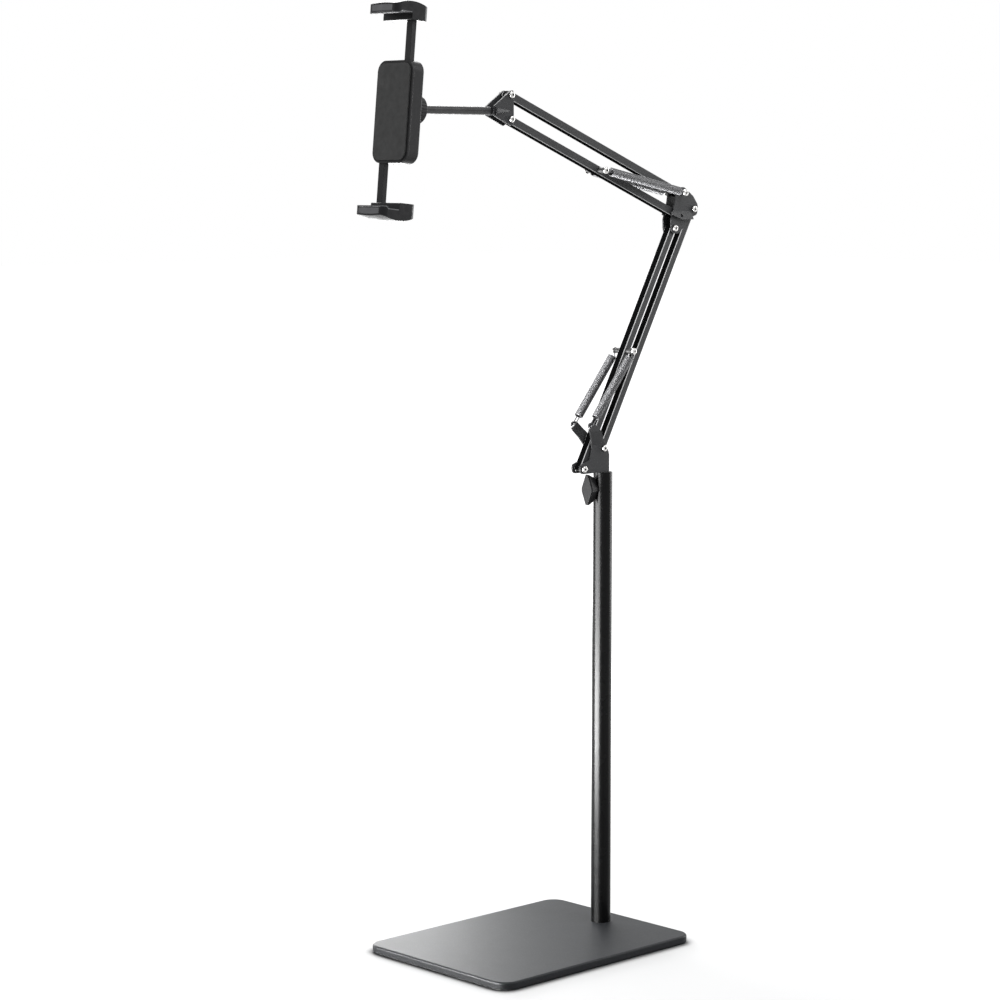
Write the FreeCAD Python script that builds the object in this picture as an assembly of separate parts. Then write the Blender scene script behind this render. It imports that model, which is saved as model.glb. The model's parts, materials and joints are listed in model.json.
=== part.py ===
import FreeCAD, Part
import math
import os

os.makedirs("parts", exist_ok=True)
V = FreeCAD.Vector
ALONG_X = V(1, 0, 0)
ALONG_Y = V(0, 1, 0)
ALONG_Z = V(0, 0, 1)

# All sizes are in millimetres and degrees. The origin is on the floor under the pole's axis.
# The user sits on the -Y side. The arm folds in the plane X = 0.

# Base and pole
base_length = 300.0
base_width = 228.0
base_corner = 19.0
base_edge_round = 2.4
plate_thickness = 8.0
pad_thickness = 1.5
pad_inset = 3.0
pole_to_back = 36.0
pole_diameter = 23.0
pole_wall = 1.2
pole_height = 527.5
foot_bolt_diameter = 8.0
foot_bolt_head = 14.0
foot_bolt_head_height = 3.6
foot_head_room = 0.4
foot_flange_thickness = 1.0
foot_hex_socket = 6.0
foot_hex_depth = 2.4
foot_plug_length = 26.0
foot_bolt_length = 24.0
top_bush_length = 40.0

# Clamp knob on the pole
clamp_below_top = 19.0
knob_width = 18.0
knob_height = 36.0
knob_depth = 11.5
knob_tip_width = 5.0
knob_back_share = 0.72
knob_gap = 0.8
knob_hub_diameter = 12.0
knob_hub_depth = 1.0
knob_chamfer = 1.2
stud_diameter = 5.0
stud_in_knob = 8.0
insert_diameter = 8.0
insert_flange = 11.0
insert_flange_depth = 1.2
insert_depth = 3.2

# Swivel pin and the folded bracket
swivel_diameter = 10.0
swivel_length = 36.0
swivel_neck = 5.0
swivel_head = 7.0
swivel_head_height = 2.0
thrust_washer_diameter = 20.0
thrust_washer_thickness = 0.6
sheet = 1.8
bracket_web_front = 14.0
bracket_back = 3.8
bracket_step_height = 20.0
bracket_step_depth = 1.2
hook_forward = 4.0
hook_rise = 49.5
hook_hole = 3.6
hook_slot = 2.2
hook_slot_length = 8.0
ear_bend_height = 16.0
fold_radius = 7.0

# Arm bars and pivots
bar_width = 9.0
bar_wall = 1.0
bar_corner = 0.7
bolt_diameter = 4.0
bolt_head = 7.6
bolt_head_height = 2.4
nut_across = 7.0
nut_height = 3.0
bar_washer_thickness = 0.7
bar_washer_diameter = 8.4
lower_pivot_forward = 37.0
lower_pivot_rise = 6.0
lower_link_y = 32.5
lower_link_z = 22.0
lower_length = 309.0
lower_angle = 61.3
lower_spring_along = 150.0
elbow_step_y = 9.0
elbow_step_z = 14.5
upper_link = 26.5
upper_length = 292.5
upper_angle = 21.6
upper_spring_along = 142.0

# Springs
spring_offset = 13.8
coil_radius = 4.5
wire_diameter = 1.0
curls = 25
hook_wire_diameter = 1.2
lower_coil_start = 12.0
coil_end_gap = 9.0
loop_clearance = 0.25
hook_leg_spread = 2.2
hook_leg_length = 25.0
sleeve_wall = 1.2

# Elbow and head plates
plate_margin = 6.4
skirt_top = 5.0
skirt_bottom = 4.5
skirt_flare = 4.4
skirt_sheet = 1.2
head_tip_forward = 26.5
head_tip_half = 5.0
head_margin = 4.8
head_back_margin = 3.4
head_bulge_radius = 5.4
neck_rise = 8.8

# Neck rod, ball and ring nut
neck_diameter = 9.0
neck_tail_diameter = 6.0
neck_tail_length = 17.0
neck_slim_diameter = 6.8
neck_slim_length = 14.5
neck_reach = 138.5
ball_diameter = 17.0
ball_socket_depth = 5.0
ball_peg_diameter = 5.0
clip_thickness = 0.8
clip_diameter = 9.0
socket_block_length = 14.5
cup_diameter = 24.0
cup_rim = 1.5
ring_diameter = 30.0
ring_front = 9.5
ring_back = 8.2
ring_throat = 7.6
ring_flutes = 24
ring_flute_diameter = 1.6

# Tablet holder, drawn upright about its own middle and leant back afterwards
lean = 5.5
ball_above_centre = 5.5
body_width = 56.0
body_height = 108.0
body_corner = 12.0
body_back = 12.0
cover_wall = 2.0
rear_cover_depth = 14.0
front_cover_thickness = 2.2
face_pad_thickness = 1.8
face_pad_inset = 3.0
jaw_gap = 208.0
jaw_width = 46.0
jaw_slot = 17.5
jaw_slot_slope = 3.0
jaw_lip = 2.4
jaw_lip_thickness = 5.0
jaw_thickness = 12.3
jaw_edge_thickness = 7.2
jaw_crown = 1.4
jaw_edge_round = 1.2
jaw_back_depth = 24.0
jaw_skirt = 8.0
jaw_corner = 7.0
jaw_close = 38.0
jaw_open = 5.0
pinion_module = 1.5
pinion_teeth = 12
pressure_angle = 20.0
tooth_play = 0.16
arm_thickness = 6.0
arm_outer = 19.0
pinion_post = 5.0
screw_diameter = 3.0
screw_head = 5.4
screw_length = 14.0
panel_width = 32.0
panel_rim = 1.5
panel_drop = 1.0
panel_depth = 1.2
liner_thickness = 1.0
return_spring_diameter = 4.0
return_spring_wire = 0.8
return_post_diameter = 2.0
return_post_inset = 4.0
arm_end_room = 1.0
arm_past_shelf = 4.0

# Clearances
running = 0.05
slide_gap = 0.3
seat_gap = 0.1

# Heights and places that follow from the sizes above
plate_bottom = pad_thickness
plate_top = plate_bottom + plate_thickness
pole_top = plate_top + pole_height
pole_inner = pole_diameter / 2 - pole_wall
bar_half = bar_width / 2
plate_in = bar_half + bar_washer_thickness + 0.1
plate_out = plate_in + sheet
bracket_bottom = pole_top + thrust_washer_thickness
front_pivot = V(0, -lower_pivot_forward, pole_top + lower_pivot_rise)
lower_link = V(0, lower_link_y, lower_link_z)
rear_pivot = front_pivot + lower_link
lower_way = V(0, math.cos(math.radians(lower_angle)), math.sin(math.radians(lower_angle)))
elbow_front = front_pivot + lower_way * lower_length
elbow_rear = elbow_front + lower_link
elbow_low = elbow_front + V(0, elbow_step_y, elbow_step_z)
elbow_top = elbow_low + V(0, 0, upper_link)
upper_way = V(0, -math.cos(math.radians(upper_angle)), math.sin(math.radians(upper_angle)))
head_low = elbow_low + upper_way * upper_length
head_top = elbow_top + upper_way * upper_length
hook_point = front_pivot + V(0, hook_forward, hook_rise)
lower_spring_bolt_at = front_pivot + lower_way * lower_spring_along
upper_spring_bolt_at = elbow_low + upper_way * upper_spring_along
neck_height = head_low.z + neck_rise
head_tip_y = head_low.y - head_tip_forward
ball_at = V(0, head_low.y - neck_reach, neck_height)
ball_radius = ball_diameter / 2
loop_radius = bolt_diameter / 2 + wire_diameter / 2 + loop_clearance
bolt_hole = bolt_diameter / 2 + running


def save(name, *shapes):
    solid = shapes[0] if len(shapes) == 1 else Part.makeCompound(list(shapes))
    solid.exportStep("parts/" + name + ".step")


def cylinder(radius, start, end):
    return Part.makeCylinder(radius, (end - start).Length, start, end - start)


def cone(radius_start, radius_end, start, end):
    return Part.makeCone(radius_start, radius_end, (end - start).Length, start, end - start)


def block(x0, x1, y0, y1, z0, z1):
    return Part.makeBox(x1 - x0, y1 - y0, z1 - z0, V(x0, y0, z0))


def rounded_face(points, radii):
    """A flat face through the points, each corner an arc of its own radius, or sharp where that is 0."""
    edges = []
    count = len(points)
    ends = []
    for i in range(count):
        before = points[i - 1]
        here = points[i]
        after = points[(i + 1) % count]
        to_before = (before - here).normalize()
        to_after = (after - here).normalize()
        half = to_before.getAngle(to_after) / 2
        setback = radii[i] / math.tan(half)
        middle = (to_before + to_after).normalize()
        centre = here + middle * (radii[i] / math.sin(half))
        ends.append((here + to_before * setback, centre - middle * radii[i], here + to_after * setback))
    for i in range(count):
        start, mid, end = ends[i]
        if radii[i] > 0:
            edges.append(Part.Arc(start, mid, end).toShape())
        following = ends[(i + 1) % count][0]
        if (following - end).Length > 1e-6:
            edges.append(Part.LineSegment(end, following).toShape())
    return Part.Face(Part.Wire(edges))


def side_plate(outline, radii, x_low, x_high):
    """A plate parallel to the arm's plane, from (y, z) corners."""
    face = rounded_face([V(x_low, y, z) for y, z in outline], radii)
    return face.extrude(V(x_high - x_low, 0, 0))


def rounded_block(width, length, corner, x, y, z0, z1):
    points = []
    for sx, sy in ((1, 1), (-1, 1), (-1, -1), (1, -1)):
        points.append(V(x + sx * width / 2, y + sy * length / 2, z0))
    return rounded_face(points, [corner] * 4).extrude(V(0, 0, z1 - z0))


def mirrored(shape):
    return shape.mirror(V(0, 0, 0), ALONG_X)


def across(point, x):
    return V(x, point.y, point.z)


def x_hole(point, radius, reach=40.0):
    return cylinder(radius, across(point, -reach), across(point, reach))


def pivot_bolt(point, x_head, x_tip):
    """A bolt along X with a low domed head on the +X side and a hexagon socket in it."""
    head = cylinder(bolt_head / 2, across(point, x_head), across(point, x_head + bolt_head_height))
    head = head.makeFillet(bolt_head_height * 0.6, [head.Edges[0]])
    shank = cylinder(bolt_diameter / 2, across(point, x_tip), across(point, x_head))
    bolt = head.fuse(shank).removeSplitter()
    socket = hexagon(point, x_head + bolt_head_height * 0.35, x_head + bolt_head_height + 1, 2.5)
    return bolt.cut(socket)


def hexagon(point, x_low, x_high, across_flats):
    radius = across_flats / math.sqrt(3)
    corners = []
    for i in range(7):
        angle = math.radians(60 * i)
        corners.append(V(x_low, point.y + radius * math.cos(angle), point.z + radius * math.sin(angle)))
    return Part.Face(Part.makePolygon(corners)).extrude(V(x_high - x_low, 0, 0))


def pivot_nut(point, x_low):
    """A hexagon nut with its outer corners turned off, facing -X."""
    nut = hexagon(point, x_low, x_low + nut_height, nut_across)
    face = nut_across * 0.52
    trim = cone(face, face + nut_height, across(point, x_low), across(point, x_low + nut_height))
    return nut.common(trim).cut(x_hole(point, bolt_hole))


def ring(point, x_low, x_high, radius, hole):
    return cylinder(radius, across(point, x_low), across(point, x_high)).cut(x_hole(point, hole))


def bar_washers(points):
    rings = []
    for point in points:
        for low in (bar_half + 0.05, -bar_half - 0.05 - bar_washer_thickness):
            rings.append(ring(point, low, low + bar_washer_thickness, bar_washer_diameter / 2, bolt_hole))
    return rings


def bar_prism(start, way, from_here, to_here, half, x_half):
    """A straight square prism along way, centred on the line through start."""
    up = V(0, -way.z, way.y)
    corners = []
    for along, side in ((from_here, -1), (to_here, -1), (to_here, 1), (from_here, 1), (from_here, -1)):
        corners.append(start + way * along + up * (side * half) - ALONG_X * x_half)
    return Part.Face(Part.makePolygon(corners)).extrude(ALONG_X * (2 * x_half))


def square_bar(start, way, length, holes):
    """A square tube with its ends rounded about the two pivots and a hole along X at each given distance."""
    outer = bar_prism(start, way, -bar_half, length + bar_half, bar_half, bar_half)
    long_edges = [edge for edge in outer.Edges if edge.Length > length]
    outer = outer.makeFillet(bar_corner, long_edges)
    between = bar_prism(start, way, 0, length, bar_half, bar_width)
    far = start + way * length
    outer = outer.common(between.fuse(x_hole(start, bar_half)).fuse(x_hole(far, bar_half)))
    inner_half = bar_half - bar_wall
    tube = outer.cut(bar_prism(start, way, -bar_width, length + bar_width, inner_half, inner_half))
    for along in holes:
        tube = tube.cut(x_hole(start + way * along, bolt_hole))
    return tube


def wire_tube(nodes, diameter):
    """One unbroken tube along tangent arcs, two between each pair of (point, direction) nodes."""
    edges = []
    for (p0, t0), (p1, t1) in zip(nodes, nodes[1:]):
        edges += biarc(p0, t0.normalize(), p1, t1.normalize())
    first, way = nodes[0]
    profile = Part.Wire(Part.Circle(first, way, diameter / 2).toShape())
    pipe = Part.BRepOffsetAPI.MakePipeShell(Part.Wire(edges))
    pipe.add(profile)
    pipe.build()
    pipe.makeSolid()
    return pipe.shape(), edges


def biarc(p0, t0, p1, t1):
    """Two arcs that leave p0 along t0 and reach p1 along t1, or one straight line."""
    chord = p1 - p0
    if chord.cross(t0).Length < 1e-9 * chord.Length and chord.cross(t1).Length < 1e-9 * chord.Length:
        return [Part.LineSegment(p0, p1).toShape()]
    along = chord.dot(t0 + t1)
    share = 2 * (1 - t0.dot(t1))
    if share < 1e-9:
        reach = chord.dot(chord) / (2 * along)
    else:
        reach = (-along + math.sqrt(along * along + share * chord.dot(chord))) / share
    joint = (p0 + p1 + (t0 - t1) * reach) * 0.5
    first = Part.Arc(p0, arc_middle(p0, t0, joint), joint)
    second = Part.Arc(joint, arc_middle(p1, t1 * -1, joint), p1)
    return [first.toShape(), second.toShape()]


def arc_middle(start, way, end):
    """The middle of the arc that leaves start along way and passes end."""
    chord = end - start
    side = way - chord * (way.dot(chord) / chord.dot(chord))
    bulge = chord.Length / 2 * math.tan(way.getAngle(chord) / 2)
    return (start + end) * 0.5 + side.normalize() * bulge


def wire_report(name, edges, diameter):
    """Prints the tightest arc, and the least gap between the tube and itself past half a curl of wire."""
    radii = [edge.Curve.Radius for edge in edges if hasattr(edge.Curve, "Radius")]
    points = []
    travelled = 0.0
    for edge in edges:
        for point in edge.discretize(4)[1:]:
            if points:
                travelled += (point - points[-1][1]).Length
            points.append((travelled, point))
    apart = 3 * loop_radius
    least = coil_radius
    for i, (place, point) in enumerate(points):
        for other_place, other in points[i + 1:]:
            if other_place - place > apart:
                least = min(least, other.distanceToPoint(point) - diameter)
    print(name, "least gap to itself %.2f, tightest arc %.2f" % (least, min(radii)))


def loop_nodes(centre, way, side):
    """A three-quarter loop about a bolt, closed side first, and the start of the run towards the coil."""
    return [
        (centre + way * loop_radius, side),
        (centre + side * loop_radius, way * -1),
        (centre - way * loop_radius, side * -1),
        (centre - side * loop_radius, way),
    ]


def backwards(nodes):
    return [(point, heading * -1) for point, heading in reversed(nodes)]


def coil_nodes(eye, way, start, end):
    """The quarter turns of a coil from eye along way, with both ends on the side of the loops' legs."""
    side = V(0, -way.z, way.y)
    pitch = (end - start) / curls
    nodes = []
    for i in range(curls * 4 + 1):
        angle = math.radians(90 * (i - 1))
        radial = side * math.sin(angle) + ALONG_X * math.cos(angle)
        sweep = side * math.cos(angle) - ALONG_X * math.sin(angle)
        heading = sweep * (2 * math.pi * coil_radius) + way * pitch
        nodes.append((eye + way * (start + pitch * i / 4) + radial * coil_radius, heading))
    return nodes


# Base plate, pad and pole
def make_base():
    centre_y = pole_to_back - base_length / 2
    foot = V(0, 0, plate_bottom)
    plate = rounded_block(base_width, base_length, base_corner, 0, centre_y, plate_bottom, plate_top)
    top_edges = [e for e in plate.Edges if e.BoundBox.ZMin > plate_top - 0.01]
    plate = plate.makeFillet(base_edge_round, top_edges)
    flange_low = plate_bottom + foot_head_room + foot_bolt_head_height
    flange_high = flange_low + foot_flange_thickness
    flange_radius = foot_bolt_head / 2 + 1
    shank_hole = foot_bolt_diameter / 2 + 4 * running
    pocket = cylinder(flange_radius + slide_gap, foot, V(0, 0, flange_high))
    through = cylinder(shank_hole, foot, V(0, 0, plate_top + 1))
    save("base_plate", plate.cut(pocket).cut(through))
    pad_width = base_width - 2 * pad_inset
    pad_length = base_length - 2 * pad_inset
    pad_corner = base_corner - pad_inset
    save("base_pad", rounded_block(pad_width, pad_length, pad_corner, 0, centre_y, 0, pad_thickness))
    head_low_point = V(0, 0, flange_low - foot_bolt_head_height)
    head = cylinder(foot_bolt_head / 2, head_low_point, V(0, 0, flange_low))
    flange = cylinder(flange_radius, V(0, 0, flange_low), V(0, 0, flange_high))
    bolt_end = V(0, 0, flange_high + foot_bolt_length)
    shank = cylinder(foot_bolt_diameter / 2, V(0, 0, flange_high), bolt_end)
    bolt = head.fuse(flange).fuse(shank).removeSplitter()
    save("pole_bolt", bolt.cut(prism_z(head_low_point, foot_hex_socket, foot_hex_depth)))
    plug_radius = pole_inner - seat_gap
    plug_top = V(0, 0, plate_top + foot_plug_length)
    plug = cylinder(plug_radius, V(0, 0, plate_top), plug_top)
    thread = cylinder(foot_bolt_diameter / 2 + running, V(0, 0, plate_top - 1), bolt_end + ALONG_Z)
    save("pole_foot_plug", plug.cut(thread))


def prism_z(centre, across_flats, height):
    radius = across_flats / math.sqrt(3)
    corners = []
    for i in range(7):
        angle = math.radians(60 * i)
        corners.append(centre + V(radius * math.cos(angle), radius * math.sin(angle), 0))
    return Part.Face(Part.makePolygon(corners)).extrude(V(0, 0, height))


def make_pole():
    clamp = V(0, 0, pole_top - clamp_below_top)
    tube = cylinder(pole_diameter / 2, V(0, 0, plate_top), V(0, 0, pole_top))
    tube = tube.cut(cylinder(pole_inner, V(0, 0, plate_top - 1), V(0, 0, pole_top + 1)))
    side_hole = cylinder(insert_diameter / 2 + running, clamp, clamp - ALONG_Y * pole_diameter)
    save("pole_tube", tube.cut(side_hole))
    bush_low = V(0, 0, pole_top - top_bush_length)
    bush = cylinder(pole_inner - seat_gap, bush_low, V(0, 0, pole_top))
    pin_bore = cylinder(swivel_diameter / 2 + running, bush_low - ALONG_Z, V(0, 0, pole_top + 1))
    save("pole_top_bush", bush.cut(pin_bore).cut(side_hole))


# Clamp knob, its stud and the threaded insert in the pole's wall
def make_clamp():
    clamp = V(0, 0, pole_top - clamp_below_top)
    face_y = -pole_diameter / 2 - insert_flange_depth
    inner_y = face_y + insert_flange_depth + insert_depth
    flange = cylinder(insert_flange / 2, clamp + ALONG_Y * face_y, clamp - ALONG_Y * (pole_diameter / 4))
    pole_solid = cylinder(pole_diameter / 2, clamp - ALONG_Z * pole_diameter, clamp + ALONG_Z * pole_diameter)
    barrel = cylinder(insert_diameter / 2, clamp + ALONG_Y * face_y, clamp + ALONG_Y * inner_y)
    stud_bore = cylinder(stud_diameter / 2 + running, clamp, clamp - ALONG_Y * pole_diameter * 2)
    save("clamp_insert", flange.cut(pole_solid).fuse(barrel).removeSplitter().cut(stud_bore))
    hub_y = face_y - knob_gap
    back_y = hub_y - knob_hub_depth
    front_y = back_y - knob_depth
    half = knob_height / 2
    tip = knob_tip_width / 2
    waist = knob_height * 0.06
    outline = [(tip, half), (knob_width / 2, waist), (knob_width / 2, -waist)]
    outline += [(tip, -half), (-tip, -half)]
    outline += [(-knob_width / 2, -waist), (-knob_width / 2, waist), (-tip, half)]
    loops = []
    for y, share in ((back_y, knob_back_share), (front_y, 1.0)):
        corners = [V(x * share, y, clamp.z + z * share) for x, z in outline]
        loops.append(Part.makePolygon(corners + corners[:1]))
    body = Part.makeLoft(loops, True, True)
    body = body.makeChamfer(knob_chamfer, [e for e in body.Edges if e.BoundBox.YMax < front_y + 0.01])
    hub = cylinder(knob_hub_diameter / 2, clamp + ALONG_Y * hub_y, clamp + ALONG_Y * (back_y - 1))
    stud_front = back_y - stud_in_knob
    socket = cylinder(stud_diameter / 2, clamp + ALONG_Y * stud_front, clamp)
    save("clamp_knob", body.fuse(hub).removeSplitter().cut(socket))
    stud_tip = clamp - ALONG_Y * (swivel_diameter / 2 + 2 * running)
    save("knob_stud", cylinder(stud_diameter / 2, clamp + ALONG_Y * stud_front, stud_tip))


# Swivel pin, washer and folded bracket
def make_bracket():
    web_top = bracket_bottom + sheet
    pin = cylinder(swivel_diameter / 2, V(0, 0, pole_top - swivel_length), V(0, 0, bracket_bottom))
    neck = cylinder(swivel_neck / 2, V(0, 0, bracket_bottom - 1), V(0, 0, web_top))
    head = cylinder(swivel_head / 2, V(0, 0, web_top), V(0, 0, web_top + swivel_head_height))
    head = head.makeFillet(swivel_head_height * 0.6, [head.Edges[0]])
    save("arm_pin", pin.fuse(neck).fuse(head).removeSplitter())
    washer = cylinder(thrust_washer_diameter / 2, V(0, 0, pole_top), V(0, 0, bracket_bottom))
    washer = washer.cut(cylinder(swivel_diameter / 2 + running, V(0, 0, pole_top - 1), V(0, 0, web_top)))
    save("swivel_washer", washer)
    web = block(-plate_in, plate_in, -bracket_web_front, bracket_back, bracket_bottom, web_top)
    web = web.cut(cylinder(swivel_neck / 2, V(0, 0, bracket_bottom - 1), V(0, 0, web_top + 1)))
    cheek = bracket_cheek()
    save("base_bracket", web.fuse(cheek).fuse(mirrored(cheek)).removeSplitter())


def bracket_cheek():
    """One side of the bracket: a flat foot at the pivots, bent outwards to a hook ear beside the spring."""
    ear_in = spring_offset - sheet / 2
    bend_low = rear_pivot.z + bolt_head / 2 + 1.2
    bend_high = bend_low + ear_bend_height
    top = hook_point.z + 20
    lean_out = (ear_in - plate_in) / ear_bend_height
    corner_shift = sheet * (math.hypot(1, lean_out) - 1) / lean_out
    start_y = front_pivot.y - 40
    section = [
        V(plate_in, start_y, bracket_bottom), V(plate_in, start_y, bend_low),
        V(ear_in, start_y, bend_high), V(ear_in, start_y, top), V(ear_in + sheet, start_y, top),
        V(ear_in + sheet, start_y, bend_high + corner_shift),
        V(plate_out, start_y, bend_low - corner_shift), V(plate_out, start_y, bracket_bottom),
    ]
    inner = fold_radius
    outer = fold_radius + sheet
    folded = rounded_face(section, [0, outer, inner, 0, 0, outer, inner, 0]).extrude(V(0, 120, 0))
    p = front_pivot
    r = rear_pivot
    h = hook_point
    outline = [
        (bracket_back, bracket_bottom), (bracket_back, bracket_bottom + bracket_step_height),
        (bracket_back - bracket_step_depth, bracket_bottom + bracket_step_height + 3.5),
        (r.y + 4.4, r.z + 1.5), (r.y - 3.8, r.z + 10.2), (h.y + 17.8, h.z - 8), (h.y + 4, h.z + 3.6),
        (h.y - 3.6, h.z + 4.2), (h.y - 4.4, h.z - 2.5), (h.y - 2.2, h.z - 6.5), (h.y + 3.5, h.z - 14),
        (h.y + 9, h.z - 25), (p.y + 9, p.z + 10),
        (p.y - 6.2, p.z + 5), (p.y - 6.2, bracket_bottom),
    ]
    radii = [1.0, 1.0, 1.5, 4.0, 5.0, 5.0, 4.0, 3.5, 3.0, 4.0, 6.0, 4.0, 5.0, 4.0, 5.0]
    cheek = folded.common(side_plate(outline, radii, 0, 2 * spring_offset))
    slot_way = V(0, -0.82, -0.57)
    slot_end = h + slot_way * hook_slot_length
    notch = x_hole(h, hook_hole / 2)
    notch = notch.fuse(slot_block(h, slot_end, hook_slot / 2))
    return cheek.cut(notch).cut(x_hole(p, bolt_hole)).cut(x_hole(r, bolt_hole))


def slot_block(start, end, half):
    way = (end - start).normalize()
    return bar_prism(start, way, 0, (end - start).Length, half, 40.0)


def pivot_set(name, points):
    """Bolts from the +X side and nuts on the other, one node each."""
    save(name + "_bolts", *[pivot_bolt(p, plate_out, -plate_out - nut_height - 1) for p in points])
    save(name + "_nuts", *[nut_behind(p, plate_out) for p in points])


def nut_behind(point, face):
    return pivot_nut(point, -face - nut_height)


# Lower and upper arm
def make_arms():
    lower_holes = [0, lower_spring_along, lower_length]
    upper_holes = [0, upper_spring_along, upper_length]
    save("lower_front_bar", square_bar(front_pivot, lower_way, lower_length, lower_holes))
    save("lower_rear_bar", square_bar(rear_pivot, lower_way, lower_length, [0, lower_length]))
    save("upper_low_bar", square_bar(elbow_low, upper_way, upper_length, upper_holes))
    save("upper_top_bar", square_bar(elbow_top, upper_way, upper_length, [0, upper_length]))
    save("bracket_bar_washers", *bar_washers([front_pivot, rear_pivot]))
    pivot_set("bracket_pivot", [front_pivot, rear_pivot])


def spring_pin(name, point, seat):
    """A long pin with a domed head at both ends that carries a spring and a sleeve on each side."""
    outside = spring_offset + wire_diameter / 2 + slide_gap
    half = pivot_bolt(point, outside, 0)
    save(name + "_pin", half.fuse(mirrored(half)).removeSplitter())
    sleeve_end = spring_offset - wire_diameter / 2 - slide_gap
    sleeve = ring(point, seat, sleeve_end, bolt_diameter / 2 + sleeve_wall, bolt_hole)
    save(name + "_sleeves", sleeve, mirrored(sleeve))


# Springs
def make_springs():
    lower = []
    upper = []
    for x in (spring_offset, -spring_offset):
        eye = across(hook_point, x)
        bolt = across(lower_spring_bolt_at, x)
        reach = (bolt - eye).Length
        way = (bolt - eye).normalize()
        side = V(0, -way.z, way.y)
        nodes = coil_nodes(eye, way, lower_coil_start, reach - coil_end_gap)
        nodes += backwards(loop_nodes(bolt, way * -1, side))
        tube, edges = wire_tube(nodes, wire_diameter)
        wire_report("lower spring", edges, wire_diameter)
        lower.append(tube)
        eye = across(elbow_top, x)
        bolt = across(upper_spring_bolt_at, x)
        reach = (bolt - eye).Length
        way = (bolt - eye).normalize()
        side = V(0, -way.z, way.y)
        coil = coil_nodes(eye, way, coil_end_gap, reach - coil_end_gap)
        tube, edges = wire_tube(loop_nodes(eye, way, side) + coil, wire_diameter)
        wire_report("upper spring", edges, wire_diameter)
        upper.append(tube)
    save("lower_springs", *lower)
    save("upper_springs", *upper)
    loops = []
    hooks = []
    for x in (spring_offset, -spring_offset):
        eye = across(elbow_top, x)
        bolt = across(upper_spring_bolt_at, x)
        way = (bolt - eye).normalize()
        side = V(0, -way.z, way.y)
        coil = coil_nodes(eye, way, coil_end_gap, (bolt - eye).Length - coil_end_gap)
        end_loop = backwards(loop_nodes(bolt, way * -1, side))
        tube, edges = wire_tube(coil[-1:] + end_loop, wire_diameter)
        loops.append(tube)
        eye = across(hook_point, x)
        hooks.append(wire_hook(eye, (across(lower_spring_bolt_at, x) - eye).normalize()))
    save("upper_spring_loops", *loops)
    save("lower_spring_hooks", *hooks)


def wire_hook(eye, way):
    """A wire bent into a U through the ear's notch, both legs inside the coil's end."""
    spread = ALONG_X * hook_leg_spread
    nodes = [
        (eye + way * hook_leg_length - spread, way * -1),
        (eye + way * hook_leg_spread - spread, way * -1),
        (eye, ALONG_X),
        (eye + way * hook_leg_spread + spread, way),
        (eye + way * hook_leg_length + spread, way),
    ]
    tube, edges = wire_tube(nodes, hook_wire_diameter)
    return tube


# Elbow: two plates with a flared skirt, four pivots
def make_elbow():
    q1 = elbow_front
    q2 = elbow_rear
    e1 = elbow_low
    e2 = elbow_top
    m = plate_margin
    outline = [
        (q1.y - m, q1.z + 10), (e1.y - m - 2.5, e1.z + 16), (e2.y - m, e2.z + m), (e2.y + m, e2.z + m),
        (q2.y - 1.5, q2.z + 15), (q2.y + m, q2.z + 5), (q2.y + 5.5, q2.z - 6.5), (q2.y - 4, q2.z - 9.5),
        (q1.y + 6.5, q1.z - 6), (q1.y - 5.5, q1.z - 6.5),
    ]
    radii = [5.0, 5.0, 5.6, 5.6, 6.0, 5.0, 4.5, 4.0, 5.0, 5.5]
    plate = side_plate(outline, radii, plate_in, plate_out)
    top = e1.z + skirt_top
    bottom = e1.z - skirt_bottom
    out = plate_out + skirt_flare
    front = q1.y - m + 0.5
    section = [
        V(plate_out - 0.3, front, top), V(plate_out, front, top), V(out, front, bottom),
        V(out - skirt_sheet, front, bottom), V(plate_out - 0.3, front, top - 4.5),
    ]
    skirt_length = q2.y - bolt_head / 2 - 1.2 - front
    skirt = Part.Face(Part.makePolygon(section + section[:1])).extrude(V(0, skirt_length, 0))
    rising = [
        (front - 1, top + 1), (front + skirt_length + 1, top + 1), (front + skirt_length + 1, bottom - 1),
        (front + skirt_length * 0.45, bottom - 1), (front - 1, top - 3.5),
    ]
    skirt = skirt.common(side_plate(rising, [0, 0, 0, 4.0, 0], plate_in, out + 1))
    plate = plate.fuse(skirt).removeSplitter()
    for point in (q1, q2, e1, e2):
        plate = plate.cut(x_hole(point, bolt_hole))
    save("elbow_plate_near", plate)
    save("elbow_plate_far", mirrored(plate))
    pivot_set("elbow_pivot", [q1, q2])
    save("elbow_pin", cylinder(bolt_diameter / 2, across(e1, -plate_out), across(e1, plate_out)))
    save("elbow_washers", *bar_washers([q1, q2, e1, e2]))
    spring_pin("elbow_spring", e2, plate_out)


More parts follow.
